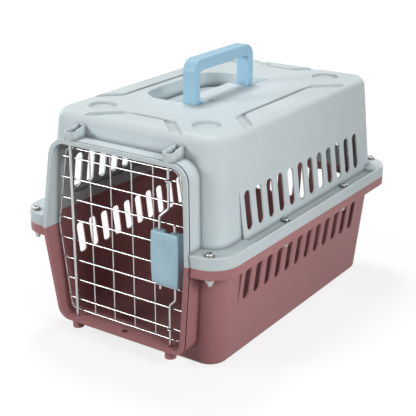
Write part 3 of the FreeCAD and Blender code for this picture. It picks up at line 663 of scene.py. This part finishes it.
class CARRIER_OT_set_stage(bpy.types.Operator):
    """Set the floor, the even light, the lamps and the camera"""
    bl_idname = "carrier.set_stage"
    bl_label = "Set Stage"

    def execute(self, context):
        look = context.scene.carrier_stage
        self.lay_floor(look)
        self.fill_world(context.scene, look)
        centre = (cad_box[0] + cad_box[1]) / 2
        for name, place, width, power in LAMPS:
            self.hang_lamp(name, place, centre, width, power)
        self.place_camera(context.scene, look)
        context.scene.view_settings.view_transform = "Standard"
        return {"FINISHED"}

    def seen_ray(self, tree):
        """One where a ray is seen directly, in gloss or through something clear."""
        path = tree.nodes.new("ShaderNodeLightPath")
        direct = combine(tree, "MAXIMUM", path.outputs["Is Camera Ray"], path.outputs["Is Glossy Ray"])
        return combine(tree, "MAXIMUM", direct, path.outputs["Is Transmission Ray"])

    def lay_floor(self, look):
        start_piece()
        bpy.ops.mesh.primitive_plane_add(size=FLOOR_WIDTH, location=(0.0, 0.0, cad_box[0].z - FLOOR_DROP))
        floor = bpy.context.object
        floor.name = "pale_floor"
        settle(floor)
        material = bpy.data.materials.new("pale_floor_paint")
        tree = cleared_tree(material)
        output = tree.nodes.new("ShaderNodeOutputMaterial")
        paint_layer = tree.nodes.new("ShaderNodeBsdfDiffuse")
        paint_layer.inputs["Color"].default_value = (*look.floor, 1.0)
        glow = tree.nodes.new("ShaderNodeEmission")
        place = tree.nodes.new("ShaderNodeTexCoord")
        away = tree.nodes.new("ShaderNodeVectorMath")
        away.operation = "LENGTH"
        tree.links.new(place.outputs["Object"], away.inputs[0])
        white = map_range(tree, away.outputs["Value"], LIFT_RANGE, (look.near_lift, look.far_lift))
        tree.links.new(combine(tree, "MULTIPLY", self.seen_ray(tree), white), glow.inputs["Strength"])
        both = tree.nodes.new("ShaderNodeAddShader")
        tree.links.new(paint_layer.outputs[0], both.inputs[0])
        tree.links.new(glow.outputs[0], both.inputs[1])
        tree.links.new(both.outputs[0], output.inputs["Surface"])
        floor.data.materials.append(material)

    def fill_world(self, scene, look):
        world = bpy.data.worlds.new("even_light")
        scene.world = world
        tree = cleared_tree(world)
        output = tree.nodes.new("ShaderNodeOutputWorld")
        sky = tree.nodes.new("ShaderNodeBackground")
        strength = map_range(tree, self.seen_ray(tree), FULL_RANGE, (look.ambient, 1.0))
        tree.links.new(strength, sky.inputs["Strength"])
        sky.inputs["Color"].default_value = (1.0, 1.0, 1.0, 1.0)
        tree.links.new(sky.outputs[0], output.inputs["Surface"])

    def hang_lamp(self, name, place, target, size, power):
        data = bpy.data.lights.new(name, "AREA")
        data.shape = "DISK"
        data.size = size
        data.energy = power
        lamp = bpy.data.objects.new(name, data)
        bpy.context.collection.objects.link(lamp)
        lamp.location = place
        lamp.rotation_euler = (Vector(place) - target).to_track_quat("Z", "Y").to_euler()

    def place_camera(self, scene, look):
        data = bpy.data.cameras.new("photo_camera")
        data.sensor_width = SENSOR_WIDTH
        data.lens = look.lens
        data.clip_start, data.clip_end = CLIP_RANGE
        camera = bpy.data.objects.new("photo_camera", data)
        scene.collection.objects.link(camera)
        turn, rise = look.azimuth, look.elevation
        back = Vector((math.sin(turn) * math.cos(rise), -math.cos(turn) * math.cos(rise), math.sin(rise)))
        right = Vector((math.cos(turn), math.sin(turn), 0.0))
        up = back.cross(right)
        level = Matrix((right, up, back)).transposed().to_4x4()
        lean = Matrix.Rotation(look.roll, 4, "Z")
        camera.matrix_world = Matrix.Translation(Vector(look.eye)) @ level @ lean
        scene.camera = camera


class CARRIER_PT_dressing(bpy.types.Panel):
    """Sidebar panel with the carrier's settings and steps"""
    bl_label = "Pet Carrier"
    bl_idname = "CARRIER_PT_dressing"
    bl_space_type = "VIEW_3D"
    bl_region_type = "UI"
    bl_category = "Carrier"

    def draw(self, context):
        scene = context.scene
        for group in (scene.carrier_plastic, scene.carrier_steel, scene.carrier_spring,
                      scene.carrier_wing_nut, scene.carrier_stage):
            box = self.layout.box()
            for key in group.bl_rna.properties.keys():
                if key not in ("rna_type", "name"):
                    box.prop(group, key)
        for operator in OPERATORS:
            self.layout.operator(operator.bl_idname)


SETTINGS = {
    "carrier_plastic": PlasticLook,
    "carrier_steel": SteelLook,
    "carrier_spring": SpringSize,
    "carrier_wing_nut": WingNutSize,
    "carrier_stage": StageLook,
}
OPERATORS = (
    CARRIER_OT_mould_shells,
    CARRIER_OT_mould_handle,
    CARRIER_OT_mould_latch,
    CARRIER_OT_plate_door,
    CARRIER_OT_plate_bolts,
    CARRIER_OT_wind_spring,
    CARRIER_OT_forge_wing_nuts,
    CARRIER_OT_set_stage,
)


def register():
    for group in SETTINGS.values():
        bpy.utils.register_class(group)
    for name, group in SETTINGS.items():
        setattr(bpy.types.Scene, name, PointerProperty(type=group))
    for operator in OPERATORS:
        bpy.utils.register_class(operator)
    bpy.utils.register_class(CARRIER_PT_dressing)


def unregister():
    bpy.utils.unregister_class(CARRIER_PT_dressing)
    for operator in reversed(OPERATORS):
        bpy.utils.unregister_class(operator)
    for name in SETTINGS:
        delattr(bpy.types.Scene, name)
    for group in reversed(list(SETTINGS.values())):
        bpy.utils.unregister_class(group)


def main():
    register()
    bpy.ops.carrier.mould_shells()
    bpy.ops.carrier.mould_handle()
    bpy.ops.carrier.mould_latch()
    bpy.ops.carrier.plate_door()
    bpy.ops.carrier.plate_bolts()
    bpy.ops.carrier.wind_spring()
    bpy.ops.carrier.forge_wing_nuts()
    bpy.ops.carrier.set_stage()


if __name__ == "__main__":
    main()
